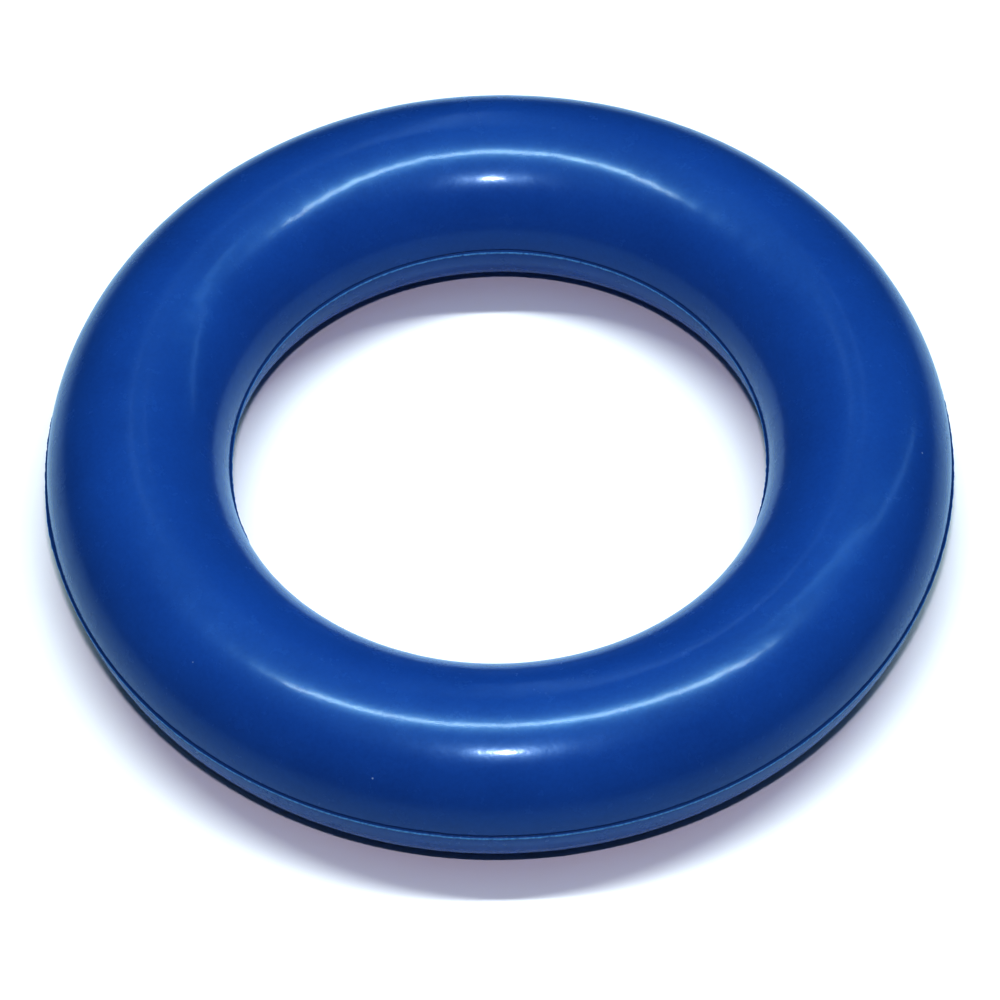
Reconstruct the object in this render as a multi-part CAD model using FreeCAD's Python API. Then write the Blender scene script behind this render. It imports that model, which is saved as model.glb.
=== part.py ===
import FreeCAD, Part
import math
import os

# A hollow rubber throwing ring: an air-filled tube bent into a closed circle. It is moulded as two
# half-tubes, an upper and a lower one, which are vulcanised together edge to edge. A thin strip of
# raw rubber lies in the joint on each side of the tube. It fuses the two halves and squeezes out of
# the mould as the fine raised line that runs round the ring, outside and inside the hole.
#
# Frame: millimetres, +Z up. The ring lies flat on the plane z = 0 and is centred on the Z axis.

# Driving dimensions.
outer_diameter = 165.0      # across the whole ring
tube_diameter = 33.4        # thickness of the ring, and its height as it lies
crown_wall = 4.1            # rubber at the top and the bottom of the tube
joint_wall = 6.0            # rubber beside the joint, thicker where the halves are pressed together

# The joint strips, measured from the tube's skin.
strip_depth = 1.2           # how far the strip's sharp edge reaches into the wall
strip_proud = 0.36          # how far its rim stands out of the skin
rim_land = 0.3              # height of the flat that trimming leaves on the rim
rim_rounding = 0.1          # rounding above and below that flat
notch_height = 0.6          # height of the bevel on each half, above or below the joint
groove_depth = 0.15         # open groove left above the strip, where the upper half draws back

# The self-sealing inflation plug, bonded to the wall of the lower half from inside.
plug_direction = 90.0       # degrees round the ring from +X
plug_slope = -35.0          # degrees from the level of the joint, on the side of the hole
plug_head_diameter = 10.0
plug_head_height = 2.4
plug_stem_diameter = 5.0
plug_skin = 2.2             # rubber left between the stem's end and the outer skin

tube_radius = tube_diameter / 2
centre_radius = outer_diameter / 2 - tube_radius
joint_height = tube_radius
cavity_half_height = tube_radius - crown_wall
cavity_half_width = tube_radius - joint_wall

UP = FreeCAD.Vector(0, 0, 1)
ORIGIN = FreeCAD.Vector(0, 0, 0)


def at(radius, height):
    """A point of the half-section, by its distance from the ring's axis and its height."""
    return FreeCAD.Vector(radius, 0, height)


def line(start, end):
    return Part.LineSegment(start, end).toShape()


def arc(start, middle, end):
    return Part.Arc(start, middle, end).toShape()


def turned(edges):
    """The solid that a closed outline of the half-section makes as it turns about the ring's axis."""
    outline = Part.Wire(Part.__sortEdges__(edges))
    return Part.Face(outline).revolve(ORIGIN, UP, 360)


def skin_point(side, rise):
    """Where the tube's skin is, a distance rise above the joint: side +1 outside, -1 in the hole."""
    reach = math.sqrt(tube_radius ** 2 - rise ** 2)
    return at(centre_radius + side * reach, joint_height + rise)


def joint_point(side, out, rise):
    """A point beside the joint: out of the skin, negative in the wall, and above the joint."""
    return at(centre_radius + side * (tube_radius + out), joint_height + rise)


def half_shell(half):
    """One moulded half-tube, half +1 for the upper one and -1 for the lower one."""
    crown = at(centre_radius, joint_height + half * tube_radius)
    skin = arc(skin_point(1, half * notch_height), crown, skin_point(-1, half * notch_height))
    cavity_roof = Part.Ellipse(
        at(centre_radius, joint_height + half * cavity_half_height),
        at(centre_radius + cavity_half_width, joint_height),
        at(centre_radius, joint_height))
    # The ellipse starts at the cavity's roof, so a quarter turn each way ends at the joint.
    lining = Part.ArcOfEllipse(cavity_roof, -math.pi / 2, math.pi / 2).toShape()
    edges = [skin, lining]
    for side in (1, -1):
        bevel_foot = joint_point(side, -strip_depth, 0)
        edges.append(line(skin_point(side, half * notch_height), bevel_foot))
        edges.append(line(bevel_foot, joint_point(side, -joint_wall, 0)))
    return turned(edges)


def joint_strip(side):
    """The rubber strip in the joint, side +1 round the outside and -1 round the hole."""
    sharp_edge = joint_point(side, -strip_depth, 0)
    # The upper face follows the upper bevel as far as the open groove.
    bevel_end = skin_point(side, notch_height)
    share = (strip_depth - groove_depth) / strip_depth
    groove_floor = sharp_edge + (bevel_end - sharp_edge) * share
    # The upper face ends in a rounding and the trimmed flat, and the lower face runs back to the
    # skin of the lower half, which it meets flush.
    upper_face = joint_point(side, strip_proud - rim_rounding, rim_land / 2 + rim_rounding)
    lower_face = joint_point(side, strip_proud - rim_rounding, -rim_land / 2 - rim_rounding)
    flush_end = skin_point(side, -notch_height)
    edges = [
        line(sharp_edge, groove_floor),
        line(groove_floor, upper_face),
        line(lower_face, flush_end),
        line(flush_end, sharp_edge)]
    flat_ends = []
    for up, face_end in ((1, upper_face), (-1, lower_face)):
        flat_end = joint_point(side, strip_proud, up * rim_land / 2)
        over = strip_proud - rim_rounding * (1 - math.sin(math.pi / 4))
        rise = rim_land / 2 + rim_rounding * math.sin(math.pi / 4)
        edges.append(arc(face_end, joint_point(side, over, up * rise), flat_end))
        flat_ends.append(flat_end)
    edges.append(line(*flat_ends))
    return turned(edges)


def plug_axis():
    """The centre of the tube at the plug, and the direction from it out through the wall."""
    turn = math.radians(plug_direction)
    slope = math.radians(plug_slope)
    round_ring = FreeCAD.Vector(math.cos(turn), math.sin(turn), 0)
    centre = round_ring * centre_radius + UP * joint_height
    outward = round_ring * -math.cos(slope) + UP * math.sin(slope)
    return centre, outward


def cavity_reach(slope):
    """Distance from the tube's centre to the cavity's wall, in the direction of slope in degrees."""
    angle = math.radians(slope)
    across = math.cos(angle) / cavity_half_width
    upward = math.sin(angle) / cavity_half_height
    return 1 / math.hypot(across, upward)


def plug_stem():
    centre, outward = plug_axis()
    start = cavity_reach(plug_slope) - plug_head_height
    length = tube_radius - plug_skin - start
    return Part.makeCylinder(plug_stem_diameter / 2, length, centre + outward * start, outward)


def plug_head(wall):
    """A disc on the cavity's wall. The wall is cut out of it, so that it beds on the curved rubber."""
    centre, outward = plug_axis()
    wall_distance = cavity_reach(plug_slope)
    margin = 2.0
    blank = Part.makeCylinder(
        plug_head_diameter / 2, plug_head_height + margin,
        centre + outward * (wall_distance - plug_head_height), outward)
    return blank.cut(wall)


def write(name, shape):
    """Save a piece, which is always one solid."""
    solid, = shape.Solids
    solid.exportStep(os.path.join("parts", name + ".step"))
    print(name, "valid", solid.isValid(), "volume", round(solid.Volume, 2))


os.makedirs("parts", exist_ok=True)

upper_half = half_shell(1)
lower_half = half_shell(-1)
plug = plug_head(lower_half).fuse(plug_stem()).removeSplitter()

write("upper_half_shell", upper_half)
write("lower_half_shell", lower_half.cut(plug_stem()))
write("outer_joint_strip", joint_strip(1))
write("inner_joint_strip", joint_strip(-1))
write("self_sealing_plug", plug)
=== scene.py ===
import math

import bmesh
import bpy
import numpy as np
from mathutils import Matrix, Vector


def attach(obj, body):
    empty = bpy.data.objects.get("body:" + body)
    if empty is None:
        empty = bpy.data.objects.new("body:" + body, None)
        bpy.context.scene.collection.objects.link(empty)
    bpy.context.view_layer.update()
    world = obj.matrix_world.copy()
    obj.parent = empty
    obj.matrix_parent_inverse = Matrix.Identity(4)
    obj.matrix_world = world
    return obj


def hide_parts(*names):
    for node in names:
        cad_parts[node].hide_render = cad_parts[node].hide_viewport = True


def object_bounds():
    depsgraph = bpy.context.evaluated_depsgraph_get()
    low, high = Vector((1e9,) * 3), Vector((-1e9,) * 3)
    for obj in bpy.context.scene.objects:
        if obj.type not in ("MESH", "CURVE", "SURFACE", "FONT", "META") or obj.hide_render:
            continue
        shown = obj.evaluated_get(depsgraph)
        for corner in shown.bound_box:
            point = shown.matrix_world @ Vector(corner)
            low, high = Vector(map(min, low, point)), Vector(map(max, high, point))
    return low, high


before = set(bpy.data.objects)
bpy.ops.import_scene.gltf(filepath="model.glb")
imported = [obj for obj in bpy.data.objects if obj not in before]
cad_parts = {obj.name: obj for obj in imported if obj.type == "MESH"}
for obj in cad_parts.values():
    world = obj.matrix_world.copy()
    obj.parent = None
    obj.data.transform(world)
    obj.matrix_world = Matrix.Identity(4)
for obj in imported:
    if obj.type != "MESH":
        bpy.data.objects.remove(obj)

# A hollow blue rubber throwing ring, lying on a pale floor. Metres, +Z up, in the CAD model's frame.
# Places on the tube's section are given by two distances from the middle of the joint on one side:
# out of the tube's skin, and above the joint. Angles on the section run from 0 on the outside of
# the ring over the crown to pi in the hole.
MM = 0.001
cad_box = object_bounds()

# Sizes taken from the CAD frame, whose widest place is the rim of the outer joint strip.
tube_radius = round((cad_box[1].z - cad_box[0].z) / 2, 4)
strip_proud = 0.36 * MM
centre_radius = round(cad_box[1].x - strip_proud, 4) - tube_radius
joint_height = tube_radius

# Walls and joint, as in the CAD model.
crown_wall = 4.1 * MM
joint_wall = 6.0 * MM
strip_depth = 1.2 * MM
rim_land = 0.3 * MM
rim_rounding = 0.1 * MM
notch_height = 0.6 * MM
groove_depth = 0.15 * MM
lip_rounding = 0.09 * MM

# Fineness of the meshes.
shell_steps = 720
skin_rows = 64
lining_rows = 26
strip_steps = 2880
corner_points = 5
sharp_edge_angle = math.radians(40)

random = np.random.default_rng(20)


# ---------------------------------------------------------------------------------------- relief

def ripple(azimuth, angle, count, turns, folds):
    """Smooth random relief, mostly between -1 and 1, from waves that close round the ring."""
    total = 0
    for _ in range(count):
        around = random.integers(turns[0], turns[1])
        across = random.uniform(-folds, folds)
        total = total + np.cos(around * azimuth + across * angle + random.uniform(0, 2 * math.pi))
    return total / math.sqrt(2 * count)


def step(azimuth, at, width):
    """0 before an azimuth in degrees and 1 after it, over a width in degrees."""
    return 0.5 + 0.5 * np.tanh((azimuth - math.radians(at)) / math.radians(width))


def bump(azimuth, at, width):
    """A rounded bump of height 1 at an azimuth in degrees."""
    gap = (azimuth - math.radians(at) + math.pi) % (2 * math.pi) - math.pi
    return np.exp(-(gap / math.radians(width)) ** 2)


class Joint:
    """How the parting line wanders on one side of the tube: side +1 outside, -1 in the hole."""

    def __init__(self, side, offsets, trims):
        self.side = side
        # Waves of the line, each a number of turns round the ring and a phase.
        self.long = self.random_waves(6, 3, 14)
        self.short = self.random_waves(14, 40, 240)
        self.fine = self.random_waves(24, 240, 900)
        # Steps of the line: an azimuth in degrees, and how far the line rises there.
        self.offsets = offsets
        # Places where more or less was trimmed off: azimuth and width in degrees, and the change
        # of the rim's height as a share of its nominal height.
        self.trims = trims

    def random_waves(self, count, fewest, most):
        return [(random.integers(fewest, most), random.uniform(0, 2 * math.pi)) for _ in range(count)]

    def waves(self, azimuth, chosen):
        """The sum of some waves, mostly between -1 and 1."""
        total = sum(np.cos(turns * azimuth + phase) for turns, phase in chosen)
        return total / math.sqrt(2 * len(chosen))

    def rise(self, azimuth):
        """How far the parting line lies above the joint's plane."""
        wandering = 0.07 * MM * self.waves(azimuth, self.long)
        wandering = wandering + 0.02 * MM * self.waves(azimuth, self.short)
        for at, height in self.offsets:
            wandering = wandering + height * step(azimuth, at, 0.12)
        return wandering

    def proud(self, azimuth):
        """How far the trimmed rim stands out, as a share of its nominal height."""
        share = 1 + 0.16 * self.waves(azimuth, self.long) + 0.14 * self.waves(azimuth, self.short)
        share = share + 0.10 * self.waves(azimuth, self.fine)
        for at, width, change in self.trims:
            share = share + change * bump(azimuth, at, width)
        return np.clip(share, 0.15, 2.2)


def follow_joint(joint, azimuth, out, rise):
    """The height above the joint's plane of points near it, moved with the parting line."""
    reach = 2.2 * MM
    near = np.exp(-(rise / reach) ** 2) * np.exp(-(np.minimum(out, 0) / (2 * reach)) ** 2)
    return rise + joint.rise(azimuth) * near


# ---------------------------------------------------------------------------------------- meshes

def azimuths(steps):
    """Azimuths of the mesh's sections, in a column."""
    return np.linspace(0, 2 * math.pi, steps, endpoint=False)[:, None]


def swept(name, radius, height):
    """A closed ring mesh from arrays of radius and height, one row per azimuth step."""
    steps, count = radius.shape
    azimuth = azimuths(steps)
    points = np.stack([radius * np.cos(azimuth), radius * np.sin(azimuth), height], 2).reshape(-1, 3)
    here = np.arange(steps)[:, None] * count + np.arange(count)[None, :]
    ahead = np.roll(here, -1, axis=0)
    faces = np.stack([here, ahead, np.roll(ahead, -1, 1), np.roll(here, -1, 1)], 2).reshape(-1, 4)
    mesh = bpy.data.meshes.new(name)
    mesh.vertices.add(len(points))
    mesh.vertices.foreach_set("co", points.ravel())
    mesh.loops.add(faces.size)
    mesh.loops.foreach_set("vertex_index", faces.ravel())
    mesh.polygons.add(len(faces))
    mesh.polygons.foreach_set("loop_start", np.arange(0, faces.size, 4))
    mesh.update(calc_edges=True)
    mesh.validate()
    mesh.polygons.foreach_set("use_smooth", np.ones(len(faces), bool))
    mesh.set_sharp_from_angle(angle=sharp_edge_angle)
    piece = bpy.data.objects.new(name, mesh)
    bpy.context.scene.collection.objects.link(piece)
    return piece


def skin_out(rise):
    """How far the skin lies inside the tube's widest point, at a distance above the joint."""
    return np.sqrt(tube_radius ** 2 - rise ** 2) - tube_radius


def rounded_corner(before, corner, after, radius, points):
    """Points of a small rounding at a corner of an outline."""
    before, corner, after = (np.array(p) for p in (before, corner, after))
    to_before = (before - corner) / np.linalg.norm(before - corner)
    to_after = (after - corner) / np.linalg.norm(after - corner)
    start = corner + to_before * radius
    end = corner + to_after * radius
    share = np.linspace(0, 1, points)[:, None]
    return (1 - share) ** 2 * start + 2 * share * (1 - share) * corner + share ** 2 * end


def half_outline(half):
    """Section of one half-tube as points (x, y) from the tube's centre, x outwards, y up.

    Also returns how many of the first points lie on the skin.
    """
    lip_angle = math.asin(notch_height / tube_radius)
    lip = np.array([tube_radius * math.cos(lip_angle), half * notch_height])
    foot = np.array([tube_radius - strip_depth, 0.0])
    along_skin = lip + np.array([0.0, half])
    corner = rounded_corner(along_skin, lip, foot, lip_rounding, corner_points)
    # Rows lie close together near the lips, and evenly spaced between them.
    near_lip = np.geomspace(0.016, 0.075, 4)
    even_from = lip_angle + 0.12
    angles = np.concatenate([
        lip_angle + near_lip,
        np.linspace(even_from, math.pi - even_from, skin_rows),
        math.pi - lip_angle - near_lip[::-1]])
    skin = tube_radius * np.stack([np.cos(angles), half * np.sin(angles)], 1)
    quarter = np.linspace(math.pi, 0, lining_rows)
    lining = np.stack([
        (tube_radius - joint_wall) * np.cos(quarter),
        half * (tube_radius - crown_wall) * np.sin(quarter)], 1)
    mirror = np.array([-1, 1])
    land = np.array([[tube_radius - (strip_depth + joint_wall) / 2, 0.0]])
    outline = np.concatenate([
        corner[::-1], skin, corner * mirror, [foot * mirror], land * mirror, lining, land, [foot]])
    skin_count = len(skin) + 2 * len(corner)
    return outline, skin_count


def half_tube(name, half, joints):
    """One moulded half-tube, half +1 for the upper one and -1 for the lower one."""
    swell_height = 0.018 * MM
    pucker_height = 0.010 * MM
    outline, skin_count = half_outline(half)
    azimuth = azimuths(shell_steps)
    x = np.repeat(outline[None, :, 0], shell_steps, 0)
    y = np.repeat(outline[None, :, 1], shell_steps, 0)
    angle = np.arctan2(y[:, :skin_count], x[:, :skin_count])
    rise = np.abs(y[:, :skin_count])
    clear_of_joint = 1 - np.exp(-(np.maximum(rise - notch_height, 0) / (2.5 * MM)) ** 2)
    relief = swell_height * ripple(azimuth, angle, 9, (2, 13), 2.5)
    relief = relief + pucker_height * ripple(azimuth, angle, 24, (24, 80), 14)
    relief = relief * clear_of_joint
    x[:, :skin_count] += relief * np.cos(angle)
    y[:, :skin_count] += relief * np.sin(angle)
    for joint in joints:
        own = x * joint.side > 0
        moved = follow_joint(joint, azimuth, joint.side * x - tube_radius, y)
        y = np.where(own, moved, y)
    # Nothing reaches below the floor.
    height = np.maximum(joint_height + y, 0)
    # The outline is turned round where it's needed for the faces to point outwards.
    if half > 0:
        x, height = x[:, ::-1], height[:, ::-1]
    return swept(name, centre_radius + x, height)


def joint_strip(name, joint):
    """The strip of rubber in the joint on one side, with its trimmed, slightly uneven rim.

    Its mesh records up to 1 on the cut rim, paler cut rubber partly painted as a highlight, and -1 on
    the groove's side above it, painted as shade.
    """
    bevel_out = skin_out(notch_height)
    floor_share = (strip_depth - groove_depth) / strip_depth
    floor = (
        -strip_depth + (bevel_out + strip_depth) * floor_share,
        notch_height * floor_share)
    face = (strip_proud - rim_rounding, rim_land / 2 + rim_rounding)
    diagonal = rim_rounding * (1 - math.sqrt(0.5))
    rounding = (strip_proud - diagonal, rim_land / 2 + rim_rounding * math.sqrt(0.5))
    flat = (strip_proud, rim_land / 2)
    flush = (bevel_out, -notch_height)

    def between(start, end, share):
        return tuple(a + (b - a) * share for a, b in zip(start, end))

    below = [(out, -rise) for out, rise in (flat, rounding, face)]
    outline = np.array([
        (-strip_depth, 0.0), between((-strip_depth, 0.0), floor, 0.5), floor,
        between(floor, face, 0.3), between(floor, face, 0.7), face, rounding, flat,
        (strip_proud, 0.0), *below, between(below[2], flush, 0.35), between(below[2], flush, 0.7),
        flush, between(flush, (-strip_depth, 0.0), 0.5)])
    azimuth = azimuths(strip_steps)
    out = np.repeat(outline[None, :, 0], strip_steps, 0)
    rise = np.repeat(outline[None, :, 1], strip_steps, 0)
    proud = joint.proud(azimuth)
    ragged = 0.05 * MM * joint.waves(azimuth, joint.fine)
    near_rim = outline[None, :, 0] > 0.2 * MM
    out = np.where(out > 0, out * proud, out)
    rise = np.where(near_rim, rise + ragged, rise)
    rise = follow_joint(joint, azimuth, out, rise)
    radius = centre_radius + joint.side * (tube_radius + out)
    height = joint_height + rise
    # Real wear and painted highlight on the cut rim: paler in uneven stretches.
    rim_wear_and_glint = np.clip(0.8 + 0.35 * joint.waves(azimuth, joint.short + joint.fine), 0, 1)
    on_rim = outline[None, :, 0] > strip_proud - 0.6 * rim_rounding
    above_rim = (outline[None, :, 1] > rim_land / 2) & ~on_rim
    # Painted shade on the groove's side above the rim, where the upper half keeps light off.
    groove_shade_mark = np.where(above_rim, -1.0, 0.0)
    wear_and_painted_light = np.where(on_rim, rim_wear_and_glint, groove_shade_mark)
    if joint.side > 0:
        radius, height, wear_and_painted_light = radius[:, ::-1], height[:, ::-1], wear_and_painted_light[:, ::-1]
    strip = swept(name, radius, height)
    record = strip.data.attributes.new("wear_and_painted_light", "FLOAT", "POINT")
    record.data.foreach_set("value", wear_and_painted_light.ravel())
    return strip


# ------------------------------------------------------------------------------------- materials

def new_material(name):
    material = bpy.data.materials.new(name)
    material.use_nodes = True
    tree = material.node_tree
    return material, tree, tree.nodes["Principled BSDF"]


def node(tree, kind, inputs=None, **settings):
    """A shader node. An input is given as a value, or as the socket that it is linked from."""
    made = tree.nodes.new(kind)
    for key, value in settings.items():
        setattr(made, key, value)
    for key, value in (inputs or {}).items():
        if isinstance(value, bpy.types.NodeSocket):
            tree.links.new(value, made.inputs[key])
        else:
            made.inputs[key].default_value = value
    return made


def noise(tree, place, scale, detail=2.0, roughness=0.5):
    """A noise of so many lumps a metre, between 0 and 1."""
    made = node(tree, "ShaderNodeTexNoise", {
        "Vector": place, "Scale": scale, "Detail": detail, "Roughness": roughness})
    return made.outputs["Fac"]


def remap(tree, value, low, high, to_low, to_high):
    """A value moved from one range to another, and held within the new one."""
    made = node(tree, "ShaderNodeMapRange", {
        "Value": value, "From Min": low, "From Max": high, "To Min": to_low, "To Max": to_high})
    return made.outputs["Result"]


def mixed(tree, share, first, second):
    """A colour between two others, each a colour or a socket."""
    made = node(tree, "ShaderNodeMix", data_type="RGBA")
    colours = [socket for socket in made.inputs if socket.type == "RGBA"]
    tree.links.new(share, made.inputs[0])
    for socket, value in zip(colours, (first, second)):
        if isinstance(value, bpy.types.NodeSocket):
            tree.links.new(value, socket)
        else:
            socket.default_value = value
    return next(socket for socket in made.outputs if socket.type == "RGBA")


dust_colour = (0.45, 0.52, 0.62, 1)
# The cut rim's colour: paler cut rubber, partly a painted highlight.
cut_and_glint_colour = (0.12, 0.34, 0.60, 1)
# Painted shade for the groove above the joint's rim.
groove_shade_colour = (0.0075, 0.044, 0.17, 1)
gloss_tint = (0.45, 0.85, 1.0, 1)
gum_dark = (0.34, 0.22, 0.11, 1)
gum_light = (0.55, 0.41, 0.25, 1)


def rubber(name, deep, light, ior, coat, worn_and_painted_light=False):
    """Glossy moulded rubber: a slightly mottled colour, faint smears, dust specks and fine grain.

    A worn and shaded one follows a value in the mesh: 1 where it was cut, paler and duller, partly
    cut rubber and partly a painted highlight, and -1 in the groove, painted darker as shade. The
    gloss is tinted blue-green, as it looks in the photograph.
    """
    material, tree, shader = new_material(name)
    place = node(tree, "ShaderNodeTexCoord").outputs["Object"]
    broad = noise(tree, place, 45, 3)
    mottle = noise(tree, place, 1300, 3, 0.6)
    tone = remap(tree, broad, 0.3, 0.7, 0.0, 0.6)
    spotty = remap(tree, mottle, 0.3, 0.7, 0.0, 0.55)
    tone = node(tree, "ShaderNodeMath", {0: tone, 1: spotty}, operation="ADD").outputs[0]
    colour = mixed(tree, tone, deep, light)
    cells = node(tree, "ShaderNodeTexVoronoi", {"Vector": place, "Scale": 130.0}, feature="F1")
    dust = remap(tree, cells.outputs["Distance"], 0.018, 0.03, 1.0, 0.0)
    chosen = node(tree, "ShaderNodeSeparateColor", {"Color": cells.outputs["Color"]}).outputs[0]
    # Only about one cell in five holds a speck.
    strength = remap(tree, chosen, 0.80, 0.82, 0, 0.5)
    dust = node(tree, "ShaderNodeMath", {0: dust, 1: strength}, operation="MULTIPLY").outputs[0]
    colour = mixed(tree, dust, colour, dust_colour)
    smear = noise(tree, place, 180, 5, 0.65)
    roughness = remap(tree, smear, 0.3, 0.7, 0.22, 0.29)
    if worn_and_painted_light:
        wear_and_painted_light = node(tree, "ShaderNodeAttribute", attribute_name="wear_and_painted_light").outputs["Fac"]
        # Paler on the cut rim, partly cut rubber and partly a painted highlight.
        cut_and_glint = remap(tree, wear_and_painted_light, 0, 1, 0, 1)
        # Darker in the groove above the rim: painted shade.
        groove_shade = remap(tree, wear_and_painted_light, 0, -1, 0, 1)
        colour = mixed(tree, cut_and_glint, colour, cut_and_glint_colour)
        colour = mixed(tree, groove_shade, colour, groove_shade_colour)
        dull = node(tree, "ShaderNodeMath", {0: wear_and_painted_light}, operation="ABSOLUTE").outputs[0]
        roughness = node(
            tree, "ShaderNodeMath", {0: dull, 1: 0.4, 2: roughness},
            operation="MULTIPLY_ADD").outputs[0]
    tree.links.new(colour, shader.inputs["Base Color"])
    tree.links.new(roughness, shader.inputs["Roughness"])
    fine = noise(tree, place, 900, 2)
    coarse = noise(tree, place, 260, 2)
    height = node(tree, "ShaderNodeMath", {0: fine, 1: coarse}, operation="ADD").outputs[0]
    relief = node(tree, "ShaderNodeBump", {
        "Height": height, "Strength": 1.0, "Distance": 0.011 * MM})
    tree.links.new(relief.outputs["Normal"], shader.inputs["Normal"])
    tree.links.new(relief.outputs["Normal"], shader.inputs["Coat Normal"])
    shader.inputs["IOR"].default_value = ior
    shader.inputs["Specular Tint"].default_value = gloss_tint
    shader.inputs["Coat Weight"].default_value = coat
    shader.inputs["Coat IOR"].default_value = 1.25
    shader.inputs["Coat Roughness"].default_value = 0.13
    return material


def gum(name):
    """Unpigmented soft gum: cloudy amber, matte."""
    material, tree, shader = new_material(name)
    place = node(tree, "ShaderNodeTexCoord").outputs["Object"]
    cloud = noise(tree, place, 420, 4, 0.6)
    tree.links.new(mixed(tree, cloud, gum_dark, gum_light), shader.inputs["Base Color"])
    tree.links.new(remap(tree, cloud, 0.3, 0.7, 0.5, 0.75), shader.inputs["Roughness"])
    relief = node(tree, "ShaderNodeBump", {
        "Height": noise(tree, place, 900, 3), "Strength": 0.6, "Distance": 0.05 * MM})
    tree.links.new(relief.outputs["Normal"], shader.inputs["Normal"])
    return material


# ------------------------------------------------------------------------------------ the object

outer_joint = Joint(
    1, offsets=[(194.7, 0.12 * MM), (262.0, -0.12 * MM)], trims=[(190.0, 4.0, 0.5)])
inner_joint = Joint(-1, offsets=[], trims=[(199.0, 3.0, 0.6), (210.7, 0.5, 0.9)])

upper = half_tube("upper_half", 1, (outer_joint, inner_joint))
lower = half_tube("lower_half", -1, (outer_joint, inner_joint))
outer_seam = joint_strip("outer_seam", outer_joint)
inner_seam = joint_strip("inner_seam", inner_joint)

skin_deep = (0.0108, 0.0655, 0.255, 1)
skin_light = (0.0144, 0.0845, 0.315, 1)
upper_rubber = rubber("upper_rubber", skin_deep, skin_light, 1.38, 0.6)
lower_rubber = rubber("lower_rubber", skin_deep, skin_light, 1.35, 0.3)
joint_rubber = rubber("joint_rubber", skin_deep, skin_light, 1.32, 0.1, worn_and_painted_light=True)

for piece, replaced, slot, material in (
        (upper, "upper_half_shell", "upper_rubber", upper_rubber),
        (lower, "lower_half_shell", "lower_rubber", lower_rubber),
        (outer_seam, "outer_joint_strip", "joint_rubber", joint_rubber),
        (inner_seam, "inner_joint_strip", "joint_rubber", joint_rubber)):
    piece.data.materials.append(material)
    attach(piece, "root")
    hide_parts(replaced)

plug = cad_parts["self_sealing_plug"]
raw_gum = gum("raw_gum")
for plug_slot in plug.material_slots:
    plug_slot.material = raw_gum


# -------------------------------------------------------------------------- floor, light, camera

floor_size = 0.6
floor_fades_from = 0.12
floor_gone_at = 0.25
floor_pale = (0.84, 0.84, 0.85, 1)
floor_paler = (0.86, 0.86, 0.865, 1)
floor_mirrored = (0.50, 0.66, 0.80, 1)


def floor_material():
    """A plain pale floor, duller and bluer in the rubber's mirror image of it.

    It fades away from the ring into the white that the camera sees behind it.
    """
    material, tree, shader = new_material("pale_floor")
    place = node(tree, "ShaderNodeTexCoord").outputs["Object"]
    grain = noise(tree, place, 60, 3)
    pale = mixed(tree, grain, floor_pale, floor_paler)
    mirrored = node(tree, "ShaderNodeLightPath").outputs["Is Glossy Ray"]
    tree.links.new(mixed(tree, mirrored, pale, floor_mirrored), shader.inputs["Base Color"])
    shader.inputs["Roughness"].default_value = 0.6
    shader.inputs["Specular IOR Level"].default_value = 0.1
    away = node(tree, "ShaderNodeVectorMath", {0: place}, operation="LENGTH").outputs["Value"]
    fading = remap(tree, away, floor_fades_from, floor_gone_at, 0, 1)
    clear = node(tree, "ShaderNodeBsdfTransparent")
    faded = node(tree, "ShaderNodeMixShader", {
        0: fading, 1: shader.outputs[0], 2: clear.outputs[0]})
    tree.links.new(faded.outputs[0], tree.nodes["Material Output"].inputs["Surface"])
    return material


def pale_floor():
    shape = bmesh.new()
    bmesh.ops.create_grid(shape, x_segments=2, y_segments=2, size=floor_size / 2)
    mesh = bpy.data.meshes.new("floor")
    shape.to_mesh(mesh)
    shape.free()
    floor = bpy.data.objects.new("floor", mesh)
    bpy.context.scene.collection.objects.link(floor)
    mesh.materials.append(floor_material())


def area_light(name, place, target, width, depth, power, colour):
    """A rectangular lamp, facing its target, which the camera itself doesn't see."""
    lamp = bpy.data.lights.new(name, "AREA")
    lamp.shape = "RECTANGLE"
    lamp.size = width
    lamp.size_y = depth
    lamp.energy = power
    lamp.color = colour
    holder = bpy.data.objects.new(name, lamp)
    bpy.context.scene.collection.objects.link(holder)
    holder.location = place
    holder.rotation_euler = (Vector(target) - Vector(place)).to_track_quat("-Z", "Y").to_euler()
    holder.visible_camera = False
    return holder


def room(ceiling_level):
    """Surroundings with dark walls and a lit ceiling, which the camera sees as plain white."""
    world = bpy.data.worlds.new("room")
    bpy.context.scene.world = world
    world.use_nodes = True
    tree = world.node_tree
    direction = node(tree, "ShaderNodeTexCoord").outputs["Generated"]
    upward = node(tree, "ShaderNodeSeparateXYZ", {"Vector": direction}).outputs["Z"]
    level = remap(tree, upward, 0.73, 0.96, 0, ceiling_level)
    lit = tree.nodes["Background"]
    lit.inputs["Color"].default_value = room_colour
    tree.links.new(level, lit.inputs["Strength"])
    seen = node(tree, "ShaderNodeBackground", {"Color": (1, 1, 1, 1), "Strength": 1.3})
    plain = node(tree, "ShaderNodeMixShader", {
        0: node(tree, "ShaderNodeLightPath").outputs["Is Camera Ray"],
        1: lit.outputs[0], 2: seen.outputs[0]})
    tree.links.new(plain.outputs[0], tree.nodes["World Output"].inputs["Surface"])


ring_centre = Vector((0, 0, joint_height))
ceiling = 1.83
room_colour = (0.60, 0.92, 1.0, 1)
tube_x = 0.10
tube_y = 0.12
tube_length = 1.64
tube_width = 0.09
tube_white = (0.92, 1.0, 0.96)
front_white = (1.0, 0.87, 0.99)
pale_sky = (0.65, 0.9, 1.0)
deep_sky = (0.5, 0.85, 1.0)

pale_floor()
room(1.13)

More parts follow.
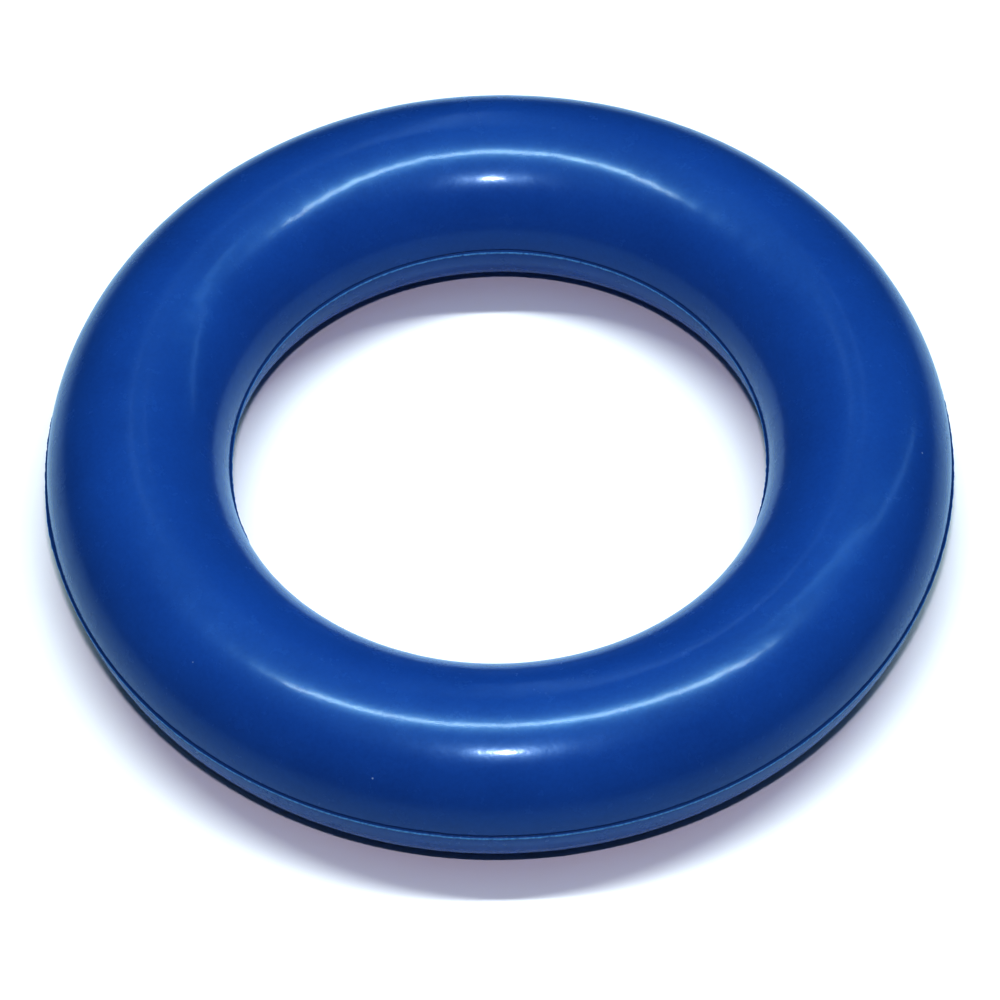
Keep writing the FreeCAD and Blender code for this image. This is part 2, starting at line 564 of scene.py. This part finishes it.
# The tube makes the long arc of light, and the small lamp above the camera makes the short spots
# and the sharp shadow under the front of the ring.
area_light(
    "overhead_tube", (tube_x, tube_y, joint_height + ceiling), (tube_x, tube_y, 0),
    tube_length, tube_width, 32.0, tube_white)
area_light(
    "front_lamp", (0, -0.545, joint_height + 0.93), ring_centre, 0.05, 0.015, 5.44, front_white)


def ceiling_strip(name, start, end, width, radiance, colour):
    """A narrow lit strip on the ceiling, between two places given by their x and y."""
    start = Vector((*start, ceiling))
    end = Vector((*end, ceiling))
    length = (end - start).length
    middle = (start + end) / 2
    power = radiance * math.pi * length * width
    strip = area_light(name, middle, middle - Vector((0, 0, 1)), length, width, power, colour)
    strip.rotation_euler = (0, 0, math.atan2(end.y - start.y, end.x - start.x))


# The strips make the faint streaks.
ceiling_strip("strip_away", (-0.08, 1.6), (-0.08, 4.5), 0.08, 6.0, pale_sky)
ceiling_strip("strip_left", (-0.46, 1.27), (-0.2, 1.4), 0.12, 3.2, pale_sky)
ceiling_strip("strip_middle", (0.2, 1.42), (0.32, 1.48), 0.12, 3.2, pale_sky)
# The one on the right bends at these places, given by their x and y.
right_corners = ((0.5, 0.82), (1.62, 0.87), (2.75, 1.55), (5.75, 3.9))
for number, (start, end) in enumerate(zip(right_corners, right_corners[1:])):
    ceiling_strip("strip_right_%d" % number, start, end, 0.11, 8.0, deep_sky)

# The camera's place was fitted to the ring's outlines in the photograph.
view_elevation = math.radians(52.77)
view_distance = 16.133 * centre_radius
aim_below = math.radians(0.392)
roll = math.radians(-1.378)
camera_data = bpy.data.cameras.new("camera")
camera_data.sensor_width = 36
camera_data.lens = 209.4
camera_data.clip_start = 0.01
camera = bpy.data.objects.new("camera", camera_data)
bpy.context.scene.collection.objects.link(camera)
away = Vector((0, -math.cos(view_elevation), math.sin(view_elevation)))
camera.location = ring_centre + away * view_distance
facing = (-away).to_track_quat("-Z", "Y").to_matrix()
camera.rotation_euler = (
    facing @ Matrix.Rotation(-aim_below, 3, "X") @ Matrix.Rotation(roll, 3, "Z")).to_euler()
bpy.context.scene.camera = camera

bpy.context.scene.view_settings.view_transform = "Standard"
bpy.context.scene.view_settings.look = "None"
bpy.context.scene.view_settings.gamma = 1 / 1.4
